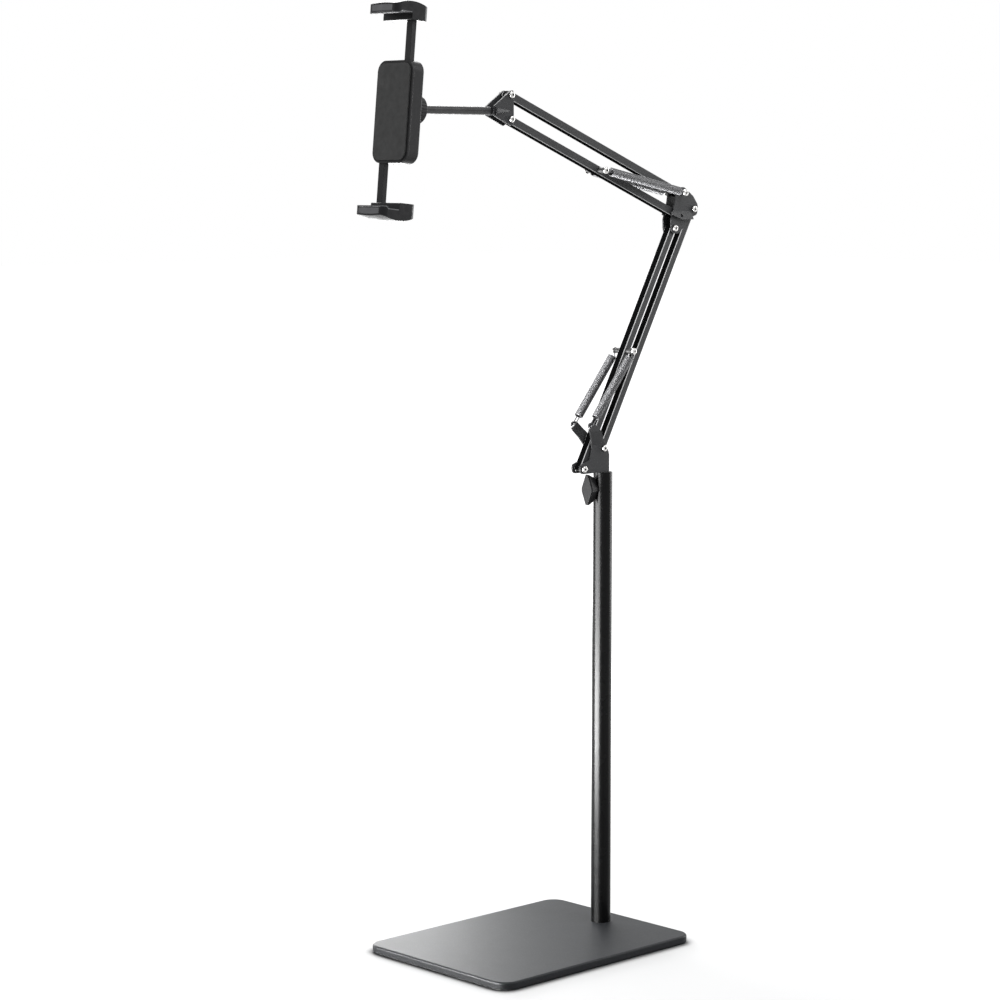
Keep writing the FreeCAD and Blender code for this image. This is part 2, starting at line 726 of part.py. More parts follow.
# Head: two plates with a stamped bulge, the socket of the neck rod
def make_head():
    h1 = head_top
    h2 = head_low
    nz = neck_height
    m = head_margin
    back = h1.y + head_back_margin
    outline = [
        (head_tip_y, nz + head_tip_half), (h1.y - 0.5, h1.z + m), (back, h1.z + m), (back, h2.z - m),
        (h2.y - 0.5, h2.z - m - 2.4), (head_tip_y, nz - head_tip_half),
    ]
    plate = side_plate(outline, [2.0, 1.5, 2.0, 2.0, 1.5, 2.0], plate_in, plate_out)
    bulge = cone(head_bulge_radius, 1.2, V(plate_in, head_tip_y + 2.2, nz), V(plate_in, h2.y + 1, nz))
    inside = head_bulge_radius + 1
    bulge = bulge.cut(block(-plate_in, plate_in, head_tip_y, back, nz - inside, nz + inside))
    plate = plate.fuse(bulge).removeSplitter()
    for point in (h1, h2):
        plate = plate.cut(x_hole(point, bolt_hole))
    save("head_plate_near", plate)
    save("head_plate_far", mirrored(plate))
    pivot_set("head_pivot", [h1, h2])
    save("head_washers", *bar_washers([h1, h2]))
    tail = V(0, head_tip_y, nz)
    block_end = tail + ALONG_Y * (0.5 + socket_block_length)
    socket = block(-plate_in, plate_in, tail.y + 0.5, block_end.y, nz - head_tip_half, nz + head_tip_half)
    socket = socket.cut(cylinder(neck_tail_diameter / 2 + running, tail - ALONG_Y, block_end + ALONG_Y))
    save("neck_socket", socket)


def make_neck():
    nz = neck_height
    shoulder = V(0, head_tip_y + 0.5 - 2 * running, nz)
    slim_start = ball_at + ALONG_Y * neck_slim_length
    seat = ball_at + ALONG_Y * (ball_radius * 0.82)
    peg_end = seat - ALONG_Y * ball_socket_depth
    rod = cylinder(neck_diameter / 2, slim_start, shoulder)
    tail_end = shoulder + ALONG_Y * neck_tail_length
    tail = cylinder(neck_tail_diameter / 2, shoulder, tail_end)
    slim = cylinder(neck_slim_diameter / 2, seat, slim_start)
    peg = cylinder(ball_peg_diameter / 2, peg_end, seat)
    clip_start = V(0, head_tip_y + 0.5 + socket_block_length + 2 * running, nz)
    clip_end = clip_start + ALONG_Y * clip_thickness
    groove = cylinder(neck_tail_diameter, clip_start, clip_end)
    groove = groove.cut(cylinder(neck_tail_diameter / 2 - 0.6, clip_start, clip_end))
    save("neck_rod", rod.fuse(tail).fuse(slim).fuse(peg).removeSplitter().cut(groove))
    clip = cylinder(clip_diameter / 2, clip_start, clip_end)
    save("neck_clip", clip.cut(cylinder(neck_tail_diameter / 2 - 0.6, clip_start, clip_end)))
    ball = Part.makeSphere(ball_radius, ball_at)
    ball = ball.cut(cylinder(neck_slim_diameter / 2, seat, slim_start))
    save("neck_ball", ball.cut(peg))


# Tablet holder. Its pieces are drawn about its middle with the tablet's face towards -Y.
def placed(shape):
    return shape.translated(ball_at - ball_in_holder).rotated(ball_at, ALONG_X, -lean)


def save_placed(name, *shapes):
    save(name, *[placed(shape) for shape in shapes])


def face_block(width, height, corner, y_from, y_to):
    points = []
    for sx, sz in ((1, 1), (-1, 1), (-1, -1), (1, -1)):
        points.append(V(sx * width / 2, y_from, sz * height / 2))
    return rounded_face(points, [corner] * 4).extrude(V(0, y_to - y_from, 0))


cover_front = -body_back - rear_cover_depth
face_front = cover_front - front_cover_thickness - face_pad_thickness
arm_front = cover_front + slide_gap
arm_back = arm_front + arm_thickness
cavity_back = -body_back - cover_wall
pitch_radius = pinion_module * pinion_teeth / 2
rack_pitch = math.pi * pinion_module
rack_tip = pitch_radius - 1.0
rack_root = pitch_radius + 1.5
arm_inner_end = -body_height / 2 + cover_wall + jaw_close + arm_end_room
return_post_x = (rack_root + arm_outer) / 2 + 1.0
return_post_low = -body_height / 2 + cover_wall + return_post_inset
return_post_high = body_height / 2 - cover_wall - jaw_open - return_post_inset
shelf = jaw_gap / 2
ball_in_holder = V(0, 0, ball_above_centre)


def make_ring_nut():
    seat = Part.makeSphere(ball_radius + running * 2)
    nut = cylinder(ring_diameter / 2, V(0, -ring_front, 0), V(0, ring_back, 0))
    rims = [e for e in nut.Edges if e.BoundBox.YMax - e.BoundBox.YMin < 0.01]
    nut = nut.makeChamfer(0.8, rims)
    nut = nut.cut(cylinder(cup_diameter / 2 + running, V(0, -ring_front - 1, 0), V(0, cup_rim + seat_gap, 0)))
    nut = nut.cut(seat)
    throat_y = math.sqrt((ball_radius + running * 2) ** 2 - ring_throat ** 2)
    mouth = ring_throat + ring_back - throat_y + 1
    nut = nut.cut(cone(ring_throat, mouth, V(0, throat_y, 0), V(0, ring_back + 1, 0)))
    for i in range(ring_flutes):
        angle = 2 * math.pi * i / ring_flutes
        axis = V(math.cos(angle), 0, math.sin(angle)) * (ring_diameter / 2 + 0.2)
        front = axis - ALONG_Y * (ring_front + 1)
        nut = nut.cut(cylinder(ring_flute_diameter / 2, front, axis + ALONG_Y * (ring_back + 1)))
    save_placed("ring_nut", nut.translated(ball_in_holder))


def screw_places():
    x = body_width / 2 - cover_wall - 3.0
    z = body_height / 2 - body_corner
    return [V(sx * x, 0, sz * z) for sx in (1, -1) for sz in (1, -1)]


def make_covers():
    shell = face_block(body_width, body_height, body_corner, -body_back, cover_front)
    rims = [e for e in shell.Edges if e.BoundBox.YMin > -body_back - 0.01]
    shell = shell.makeFillet(1.6, rims)
    inner_width = body_width - 2 * cover_wall
    inner_height = body_height - 2 * cover_wall
    cavity = face_block(inner_width, inner_height, body_corner - cover_wall, cavity_back, cover_front - 1)
    shell = shell.cut(cavity)
    cup_base = ball_in_holder - ALONG_Y * (body_back + cover_wall / 2)
    cup = cylinder(cup_diameter / 2, cup_base, ball_in_holder + ALONG_Y * cup_rim)
    shell = shell.fuse(cup).cut(Part.makeSphere(ball_radius + running * 2, ball_in_holder))
    post = cylinder(pinion_post / 2, V(0, cavity_back + 0.5, 0), V(0, cover_front, 0))
    shell = shell.fuse(post)
    rib_end = inner_height / 2 - 4
    guide = arm_outer + slide_gap
    rib_back = arm_back + slide_gap
    for s in (1, -1):
        rib = [s * (rack_root + 0.5), s * (rack_root + 2.0)]
        shell = shell.fuse(block(min(rib), max(rib), rib_back, cavity_back + 0.5, -rib_end, rib_end))
        rib = [s * guide, s * (guide + 1.5)]
        shell = shell.fuse(block(min(rib), max(rib), cover_front, cavity_back + 0.5, -rib_end, rib_end))
        slot = [s * (rack_root - slide_gap), s * (arm_outer + slide_gap)]
        ends = [s * (inner_height / 2 - 1), s * (body_height / 2 + 1)]
        shell = shell.cut(block(min(slot), max(slot), cover_front - 1, rib_back, min(ends), max(ends)))
    anchor = V(return_post_x, 0, return_post_low)
    anchor_end = anchor + ALONG_Y * (rib_back + 2 * slide_gap)
    anchor_post = cylinder(return_post_diameter / 2, anchor + ALONG_Y * (cavity_back + 0.5), anchor_end)
    shell = shell.fuse(anchor_post)
    for place in screw_places():
        boss = cylinder(2.9, place + ALONG_Y * (cavity_back + 0.5), place + ALONG_Y * cover_front)
        shell = shell.fuse(boss)
        shell = shell.cut(cylinder(screw_diameter / 2 + running, place, place + ALONG_Y * (cover_front - 1)))
        shell = shell.cut(cylinder(screw_head / 2 + 0.2, place, place - ALONG_Y * (body_back + 1.6)))
    shell = shell.removeSplitter()
    save_placed("holder_rear_cover", shell)
    plate_front = cover_front - front_cover_thickness
    plate = face_block(body_width, body_height, body_corner, cover_front, plate_front)
    screws = []
    for place in screw_places():
        seat_y = -body_back - 1.6
        tip_y = cover_front - front_cover_thickness * 0.6
        plate = plate.cut(cylinder(screw_diameter / 2 + running, place, place + ALONG_Y * (tip_y - 0.1)))
        head = cylinder(screw_head / 2, place + ALONG_Y * seat_y, place + ALONG_Y * (seat_y + 1.4))
        shank = cylinder(screw_diameter / 2, place + ALONG_Y * seat_y, place + ALONG_Y * tip_y)
        screws.append(head.fuse(shank).removeSplitter())
    save_placed("holder_front_cover", plate)
    save_placed("holder_screws", *screws)
    pad_width = body_width - 2 * face_pad_inset
    pad_height = body_height - 2 * face_pad_inset
    pad_corner = body_corner - face_pad_inset
    save_placed("face_pad", face_block(pad_width, pad_height, pad_corner, plate_front, face_front))
    spring_y = (arm_back + cavity_back) / 2
    spring_radius = return_spring_diameter / 2
    low = V(return_post_x, spring_y, return_post_low - spring_radius)
    high = V(return_post_x, spring_y, return_post_high + spring_radius)
    spring = cylinder(spring_radius, low, high)
    spring = spring.cut(cylinder(spring_radius - return_spring_wire, low - ALONG_Z, high + ALONG_Z))
    for z in (return_post_low, return_post_high):
        post_room = cylinder(return_post_diameter / 2 + running, V(low.x, cover_front, z), V(low.x, 0, z))
        spring = spring.cut(post_room)
    save_placed("jaw_return_spring", spring)


def make_pinion():
    alpha = math.radians(pressure_angle)
    base = pitch_radius * math.cos(alpha)
    tip = pitch_radius + 1.2
    root = pitch_radius - 1.35
    half_at_pitch = math.pi / (2 * pinion_teeth) - tooth_play / pitch_radius
    flank = []
    for i in range(6):
        r = base + (tip - base) * i / 5
        roll = math.acos(min(1.0, base / r))
        flank.append((r, half_at_pitch + math.tan(alpha) - alpha - math.tan(roll) + roll))
    flank.insert(0, (root, flank[0][1] * 0.94))
    corners = []
    for k in range(pinion_teeth):
        centre = math.pi * (2 * k + 1) / pinion_teeth
        for r, half in flank:
            corners.append(V(r * math.cos(centre - half), arm_front, r * math.sin(centre - half)))
        for r, half in reversed(flank):
            corners.append(V(r * math.cos(centre + half), arm_front, r * math.sin(centre + half)))
    gear = Part.Face(Part.makePolygon(corners + corners[:1])).extrude(V(0, arm_thickness, 0))
    bore = cylinder(pinion_post / 2 + running, V(0, arm_front - 1, 0), V(0, arm_back + 1, 0))
    save_placed("pinion", gear.cut(bore))


def rack_arm():
    """The upper jaw's arm: a flat stem with rack teeth towards the pinion."""
    slope = math.tan(math.radians(pressure_angle))
    half_pitch_width = rack_pitch / 4 - tooth_play
    corners = [V(rack_root, arm_front, arm_inner_end)]
    first = math.ceil((arm_inner_end + rack_pitch / 2) / rack_pitch)
    last = int((jaw_close + 8) / rack_pitch)
    for k in range(first, last + 1):
        z = k * rack_pitch
        wide = half_pitch_width + (rack_root - pitch_radius) * slope
        narrow = half_pitch_width - (pitch_radius - rack_tip) * slope
        corners += [V(rack_root, arm_front, z - wide), V(rack_tip, arm_front, z - narrow)]
        corners += [V(rack_tip, arm_front, z + narrow), V(rack_root, arm_front, z + wide)]
    arm_end = shelf + arm_past_shelf
    corners += [V(rack_root, arm_front, arm_end), V(arm_outer, arm_front, arm_end)]
    corners += [V(arm_outer, arm_front, arm_inner_end)]
    arm = Part.Face(Part.makePolygon(corners + corners[:1])).extrude(V(0, arm_thickness, 0))
    post_at = V(return_post_x, arm_back - 0.5, return_post_high)
    post_end = V(return_post_x, cavity_back - 2 * slide_gap, return_post_high)
    return arm.fuse(cylinder(return_post_diameter / 2, post_at, post_end)).removeSplitter()


def dome_radius(span, height):
    """The radius of an arch of that height over that span."""
    return (span * span / 4 + height * height) / (2 * height)


def barrel(radius, centre):
    """A round solid along X that is a little thinner towards its ends, like the jaws' backs."""
    half = jaw_width / 2 + 1
    swell = dome_radius(jaw_width, jaw_crown)
    low = radius - swell + math.sqrt(swell * swell - half * half)
    left = centre - ALONG_X * half
    right = centre + ALONG_X * half
    arc = Part.Arc(left + ALONG_Z * low, centre + ALONG_Z * radius, right + ALONG_Z * low).toShape()
    rest = Part.makePolygon([right + ALONG_Z * low, right, left, left + ALONG_Z * low])
    face = Part.Face(Part.Wire([arc] + rest.Edges))
    return face.revolve(centre, ALONG_X, 360)


def jaw_screw_place():
    return V((rack_root + arm_outer) / 2, 0, shelf - jaw_skirt / 2)


def make_jaw(name, flipped):
    """A hook-shaped jaw on its arm. The lower one is the same pieces turned half round."""
    inner = face_front + 0.2
    lip_in = face_front - jaw_slot
    front = lip_in - jaw_lip_thickness
    back = inner + jaw_back_depth
    g = shelf
    top = g + jaw_thickness
    middle = (front + back) / 2
    drop = jaw_thickness - jaw_edge_thickness
    bow = dome_radius(back - front, drop)
    outline = [
        (inner, g - jaw_skirt), (inner, g), (lip_in + jaw_slot_slope, g), (lip_in, g - jaw_lip),
        (front, g - jaw_lip), (front, top), (back, top), (back, g - jaw_skirt),
    ]
    radii = [1.0, 0.6, 1.0, 0.8, 1.2, 0, 0, 1.5]
    jaw = side_plate(outline, radii, -jaw_width / 2, jaw_width / 2)
    dome_centre = V(0, middle, top - bow)
    jaw = jaw.common(barrel(bow, dome_centre))
    rims = [e for e in jaw.Edges if e.BoundBox.ZMin > g + 1 and e.BoundBox.YLength < 0.01]
    jaw = jaw.makeFillet(jaw_edge_round, [e for e in rims if e.BoundBox.XLength > jaw_width - 0.01])
    plan = rounded_block(jaw_width, back - front, jaw_corner, 0, middle, 0, top + 1)
    jaw = jaw.common(plan)
    pocket = block(rack_root, arm_outer, arm_front, arm_back, g - jaw_skirt - 1, g + arm_past_shelf)
    place = jaw_screw_place()
    seat = back - 2.0
    tip = place + ALONG_Y * (arm_front + 1.5)
    screw_hole = cylinder(screw_diameter / 2 + running, place + ALONG_Y * back, tip)
    head_room = cylinder(screw_head / 2 + 0.2, place + ALONG_Y * (back + 1), place + ALONG_Y * seat)
    panel_low = g - panel_drop
    panel_half = panel_width / 2
    within = barrel(bow - panel_rim, dome_centre)
    panel = block(-panel_half, panel_half, front - 1, front + panel_depth, panel_low, top).common(within)
    jaw = jaw.cut(pocket).cut(screw_hole).cut(head_room).cut(panel)
    arm = rack_arm().cut(screw_hole)
    head = cylinder(screw_head / 2, place + ALONG_Y * seat, place + ALONG_Y * (seat + 1.4))
    shank = cylinder(screw_diameter / 2, place + ALONG_Y * seat, tip)
    screw = head.fuse(shank).removeSplitter()
    insert = block(-panel_half, panel_half, front, front + panel_depth, panel_low, top).common(within)
    thick = liner_thickness
    liner_path = [
        (front + 1.2, g - jaw_lip + 0.5), (lip_in, g - jaw_lip + 0.5), (lip_in + jaw_slot_slope, g + 0.5),
        (inner - 0.2, g + 0.5), (inner - 0.2, g - thick), (lip_in + jaw_slot_slope + 0.3, g - thick),
        (lip_in + 0.3, g - jaw_lip - thick), (front + 1.2, g - jaw_lip - thick),
    ]
    liner = side_plate(liner_path, [0] * 8, -jaw_width / 2, jaw_width / 2).common(plan).cut(jaw)
    pieces = {"jaw": [jaw], "jaw_arm": [arm], "jaw_screw": [screw], "jaw_rubber": [insert, liner]}
    for kind, shapes in pieces.items():
        turn = 180 if flipped else 0
        save_placed(name + "_" + kind, *[shape.rotated(V(0, 0, 0), ALONG_Y, turn) for shape in shapes])


make_base()
make_pole()
make_clamp()
make_bracket()
make_arms()
spring_pin("lower_spring", lower_spring_bolt_at, bar_half + running)
spring_pin("upper_spring", upper_spring_bolt_at, bar_half + running)
make_springs()
make_elbow()
make_head()
make_neck()
make_ring_nut()
make_covers()
make_pinion()
make_jaw("upper", False)
make_jaw("lower", True)
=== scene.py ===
import json
import math

import bmesh
import bpy
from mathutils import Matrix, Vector


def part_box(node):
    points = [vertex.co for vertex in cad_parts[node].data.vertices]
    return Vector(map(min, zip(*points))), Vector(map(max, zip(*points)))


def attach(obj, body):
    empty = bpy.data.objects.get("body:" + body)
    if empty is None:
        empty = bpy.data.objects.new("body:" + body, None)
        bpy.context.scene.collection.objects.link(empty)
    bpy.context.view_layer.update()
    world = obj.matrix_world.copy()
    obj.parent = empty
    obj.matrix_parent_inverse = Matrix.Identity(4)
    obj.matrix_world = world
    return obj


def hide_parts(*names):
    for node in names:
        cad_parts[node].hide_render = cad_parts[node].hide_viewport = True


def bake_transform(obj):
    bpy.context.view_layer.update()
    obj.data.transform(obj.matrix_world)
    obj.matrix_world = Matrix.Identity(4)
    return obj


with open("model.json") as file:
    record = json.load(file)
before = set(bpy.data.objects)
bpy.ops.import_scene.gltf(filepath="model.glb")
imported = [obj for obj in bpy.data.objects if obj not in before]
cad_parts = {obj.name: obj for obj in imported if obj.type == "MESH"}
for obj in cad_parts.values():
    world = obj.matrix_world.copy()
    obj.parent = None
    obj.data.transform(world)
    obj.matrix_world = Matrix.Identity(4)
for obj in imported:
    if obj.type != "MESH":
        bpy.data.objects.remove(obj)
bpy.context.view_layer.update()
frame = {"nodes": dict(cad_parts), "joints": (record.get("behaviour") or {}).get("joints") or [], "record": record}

nodes = frame["nodes"]
joints = {j["name"]: j for j in frame["joints"]}
X = Vector((1, 0, 0))

# Spring sizes, in metres, that repeat the CAD model's
spring_offset = 0.0138
wire_radius = 0.0005
coil_radius = 0.0045
lower_coil_start = 0.012
coil_end_gap = 0.009
loop_radius = 0.00275

# How the springs' wire is drawn
turns_per_metre = 1 / (2 * wire_radius * 1.06)
steps_per_turn = 20
wire_sides = 8
loop_sweep = 290
loop_steps = 22
loop_entry_back = 0.2
lead_steps = 6
lead_coil_share = 0.45
lead_sway = 0.0004

# The camera stands where the photograph was taken from
camera_place = (2.2704, -2.3215, 0.880)
camera_turn = 0.8105
camera_pitch = math.radians(6.602)
camera_lens_mm = 102.32
camera_sensor_mm = 36.0
view_limit = 60

# The stage
floor_size = 20.0
floor_drop = 0.0002
floor_middle = (0.0, -0.12, 0.0)
world_light = 0.45
holder_bodies = ("holder", "jaw_up", "jaw_down")


def make_camera():
    data = bpy.data.cameras.new("camera")
    data.sensor_fit = "HORIZONTAL"
    data.sensor_width = camera_sensor_mm
    data.lens = camera_lens_mm
    data.clip_end = view_limit
    camera = bpy.data.objects.new("camera", data)
    bpy.context.scene.collection.objects.link(camera)
    camera.location = camera_place
    camera.rotation_euler = (math.pi / 2 - camera_pitch, 0, camera_turn)
    bpy.context.scene.camera = camera


# Materials
class Nodes:
    """A short way to build one material's nodes."""

    def __init__(self, name):
        self.name = name
        self.material = bpy.data.materials.new(name)
        self.material.use_nodes = True
        self.tree = self.material.node_tree
        self.shader = self.tree.nodes["Principled BSDF"]
        self.where = self.add("ShaderNodeTexCoord")

    def add(self, kind, **values):
        node = self.tree.nodes.new(kind)
        for key, value in values.items():
            setattr(node, key, value)
        return node

    def link(self, output, target):
        self.tree.links.new(output, target)

    def noise(self, scale, detail):
        node = self.add("ShaderNodeTexNoise")
        node.inputs["Scale"].default_value = scale
        node.inputs["Detail"].default_value = detail
        self.link(self.where.outputs["Object"], node.inputs["Vector"])
        return node.outputs["Fac"]

    def span(self, value, low, high, new_low=0.0, new_high=1.0):
        """The value from low to high, moved to run from new_low to new_high, and held there beyond."""
        node = self.add("ShaderNodeMapRange")
        node.inputs["From Min"].default_value = low
        node.inputs["From Max"].default_value = high
        node.inputs["To Min"].default_value = new_low
        node.inputs["To Max"].default_value = new_high
        self.link(value, node.inputs["Value"])
        return node.outputs["Result"]

    def patches(self, scale, detail, low=0.3, high=0.7, new_low=0.0, new_high=1.0):
        """Noise of that scale, with what lies between low and high spread from new_low to new_high."""
        return self.span(self.noise(scale, detail), low, high, new_low, new_high)

    def product(self, first, second):
        node = self.add("ShaderNodeMath", operation="MULTIPLY")
        self.link(first, node.inputs[0])
        self.link(second, node.inputs[1])
        return node.outputs[0]

    def blend_colours(self, factor, first, second):
        node = self.add("ShaderNodeMix", data_type="RGBA")
        self.link(factor, node.inputs[0])
        for socket, colour in ((node.inputs[6], first), (node.inputs[7], second)):
            if isinstance(colour, tuple):
                socket.default_value = (*colour, 1)
            else:
                self.link(colour, socket)
        return node.outputs[2]

    def rounded(self, radius, samples=6):
        """The normal as if every edge were rounded by that radius."""
        node = self.add("ShaderNodeBevel", samples=samples)
        node.inputs["Radius"].default_value = radius
        return node.outputs["Normal"]

    def bump(self, height, distance, strength, normal):
        node = self.add("ShaderNodeBump")
        node.inputs["Distance"].default_value = distance
        node.inputs["Strength"].default_value = strength
        self.link(height, node.inputs["Height"])
        self.link(normal, node.inputs["Normal"])
        return node.outputs["Normal"]

    def set(self, **values):
        for key, value in values.items():
            self.shader.inputs[key.replace("_", " ")].default_value = value

    def colour(self, output):
        self.link(output, self.shader.inputs["Base Color"])

    def rough(self, output):
        self.link(output, self.shader.inputs["Roughness"])

    def normal(self, output):
        self.link(output, self.shader.inputs["Normal"])


def times(colour, factor):
    return tuple(c * factor for c in colour)


def worn_and_lit_edges(n, radius):
    """Where the rounded normal leaves the true one: 1 on edges, 0 on flats."""
    flat_cosine = 0.97
    edge_cosine = 0.75
    geometry = n.add("ShaderNodeNewGeometry")
    product = n.add("ShaderNodeVectorMath", operation="DOT_PRODUCT")
    n.link(n.rounded(radius), product.inputs[0])
    n.link(geometry.outputs["Normal"], product.inputs[1])
    return n.span(product.outputs["Value"], flat_cosine, edge_cosine)


def paint(name, colour, light, rough, grain, edge, wear_and_highlight, ior, depth=0.00002, cloud=1.2, patch=0.055):
    """Powder coat: fine grain, faint clouds of colour, and lighter edges, partly rubbed wear and partly a painted
    highlight.

    light is the colour of that edge mark and wear_and_highlight how much of it shows, cloud is how much brighter
    the clouds are than the colour, and patch is how far the roughness strays to either side.
    """
    n = Nodes(name)
    n.set(IOR=ior)
    base = n.blend_colours(n.patches(scale=14.0, detail=4.0), colour, times(colour, cloud))
    speckle = n.patches(scale=grain * 0.6, detail=2.0, low=0.55, high=0.75, new_high=0.6)
    base = n.blend_colours(speckle, base, times(colour, 2.2))
    scuffs = n.patches(scale=220.0, detail=5.0, low=0.42, high=0.62, new_low=0.2)
    # Edge mark: partly rubbed wear, partly a painted highlight along the edges
    wear_and_edge_highlight = n.span(n.product(worn_and_lit_edges(n, edge), scuffs), 0.0, 1.0, new_high=wear_and_highlight)
    n.colour(n.blend_colours(wear_and_edge_highlight, base, light))
    n.rough(n.patches(scale=60.0, detail=5.0, new_low=rough - patch, new_high=rough + patch))
    n.normal(n.bump(n.noise(grain, detail=2.0), depth, strength=0.6, normal=n.rounded(edge)))
    return n


def local_parts(n, normal):
    """How far a normal leans to either side, and how far towards the user, in the object's own frame."""
    local = n.add(
        "ShaderNodeVectorTransform", vector_type="NORMAL", convert_from="WORLD", convert_to="OBJECT")
    n.link(normal, local.inputs[0])
    parts = n.add("ShaderNodeSeparateXYZ")
    n.link(local.outputs[0], parts.inputs[0])
    aside = n.add("ShaderNodeMath", operation="ABSOLUTE")
    n.link(parts.outputs["X"], aside.inputs[0])
    ahead = n.add("ShaderNodeMath", operation="MULTIPLY")
    n.link(parts.outputs["Y"], ahead.inputs[0])
    ahead.inputs[1].default_value = -1.0
    return aside.outputs[0], ahead.outputs[0]


def bar_paint(name, colour, highlight_colour, rough):
    """The bars' powder coat: grainy flats, a painted highlight line along the lower corners, and painted shade
    darkening the undersides.
    """
    line_radius = 0.0016
    edge_radius = 0.0003
    grain_depth = 0.00002
    n = Nodes(name)
    n.set(IOR=1.22)
    base = n.blend_colours(n.patches(scale=18.0, detail=4.0), colour, times(colour, 1.3))
    speckle = n.patches(scale=620.0, detail=3.0, low=0.5, high=0.72, new_high=0.8)
    base = n.blend_colours(speckle, base, times(colour, 2.4))

    # The painted highlight line lies where the rounded normal is on its way from the underside to a side face
    aside, ahead = local_parts(n, n.rounded(line_radius, samples=12))
    leaves_underside = n.span(aside, 0.42, 0.6)
    reaches_side = n.span(aside, 0.95, 0.995, new_low=1.0, new_high=0.0)
    painted_highlight = n.product(n.product(leaves_underside, reaches_side), n.span(ahead, 0.08, 0.2))

    # The painted highlight is kept on the side faces, and the underside is darkened with painted shade and has no
    # gloss
    geometry = n.add("ShaderNodeNewGeometry")
    aside, ahead = local_parts(n, geometry.outputs["True Normal"])
    painted_highlight = n.product(painted_highlight, n.span(aside, 0.1, 0.3))
    shaded_underside = n.product(n.span(aside, 0.2, 0.4, new_low=1.0, new_high=0.0), n.span(ahead, 0.1, 0.3))
    base = n.blend_colours(shaded_underside, base, times(colour, 0.3))
    gloss = n.span(shaded_underside, 0.0, 1.0, new_low=0.5, new_high=0.0)
    n.link(gloss, n.shader.inputs["Specular IOR Level"])
    n.colour(n.blend_colours(painted_highlight, base, highlight_colour))
    n.rough(n.patches(scale=60.0, detail=5.0, new_low=rough - 0.05, new_high=rough + 0.06))
    grain = n.noise(scale=1300.0, detail=2.0)
    n.normal(n.bump(grain, grain_depth, strength=0.6, normal=n.rounded(edge_radius)))
    return n


def metal(name, colour, rough, metallic=1.0, shaded_recess_depth=None):
    """Bright metal, with painted shade darkening its recesses where a depth for them is given."""
    recess_shade = (0.03, 0.03, 0.03)
    edge_radius = 0.0002
    grain_depth = 0.000006
    least_rough = 0.05
    n = Nodes(name)
    n.set(Metallic=metallic)
    dull_spots = n.patches(scale=300.0, detail=4.0, low=0.35, high=0.65)
    face = n.blend_colours(dull_spots, colour, times(colour, 0.86))
    if shaded_recess_depth:
        # Painted shade: the colour turns dark where the surface is closed in by its surroundings
        open_sky = n.add("ShaderNodeAmbientOcclusion", samples=8)
        open_sky.inputs["Distance"].default_value = shaded_recess_depth
        face = n.blend_colours(n.span(open_sky.outputs["AO"], 0.5, 0.85), recess_shade, face)
    n.colour(face)
    smoothest = max(rough - 0.06, least_rough)
    n.rough(n.patches(scale=700.0, detail=4.0, new_low=smoothest, new_high=rough + 0.08))
    grain = n.noise(scale=2500.0, detail=2.0)
    n.normal(n.bump(grain, grain_depth, strength=0.5, normal=n.rounded(edge_radius)))
    return n


def plastic(name, colour, rough, grain=900.0, depth=0.00003, edge=0.0005, ior=1.38):
    """Moulded plastic with a fine spark-eroded texture."""
    n = Nodes(name)
    n.set(IOR=ior)
    n.colour(n.blend_colours(n.patches(scale=30.0, detail=3.0), colour, times(colour, 1.18)))
    n.rough(n.patches(scale=180.0, detail=4.0, new_low=rough - 0.04, new_high=rough + 0.07))
    n.normal(n.bump(n.noise(grain, detail=3.0), depth, strength=0.5, normal=n.rounded(edge)))
    return n


def rubber(name, colour, rough):
    """Matt rubber with a coarse skin and a little dust on it."""
    edge_radius = 0.0004
    skin_depth = 0.00005
    n = Nodes(name)
    n.set(IOR=1.4)
    dusty = tuple(c * 1.6 + 0.02 for c in colour)
    dust = n.patches(scale=90.0, detail=6.0, low=0.45, high=0.75, new_high=0.35)
    n.colour(n.blend_colours(dust, colour, dusty))
    n.rough(n.patches(scale=160.0, detail=3.0, new_low=rough - 0.05, new_high=rough + 0.06))
    skin = n.noise(scale=700.0, detail=4.0)
    n.normal(n.bump(skin, skin_depth, strength=0.5, normal=n.rounded(edge_radius)))
    return n


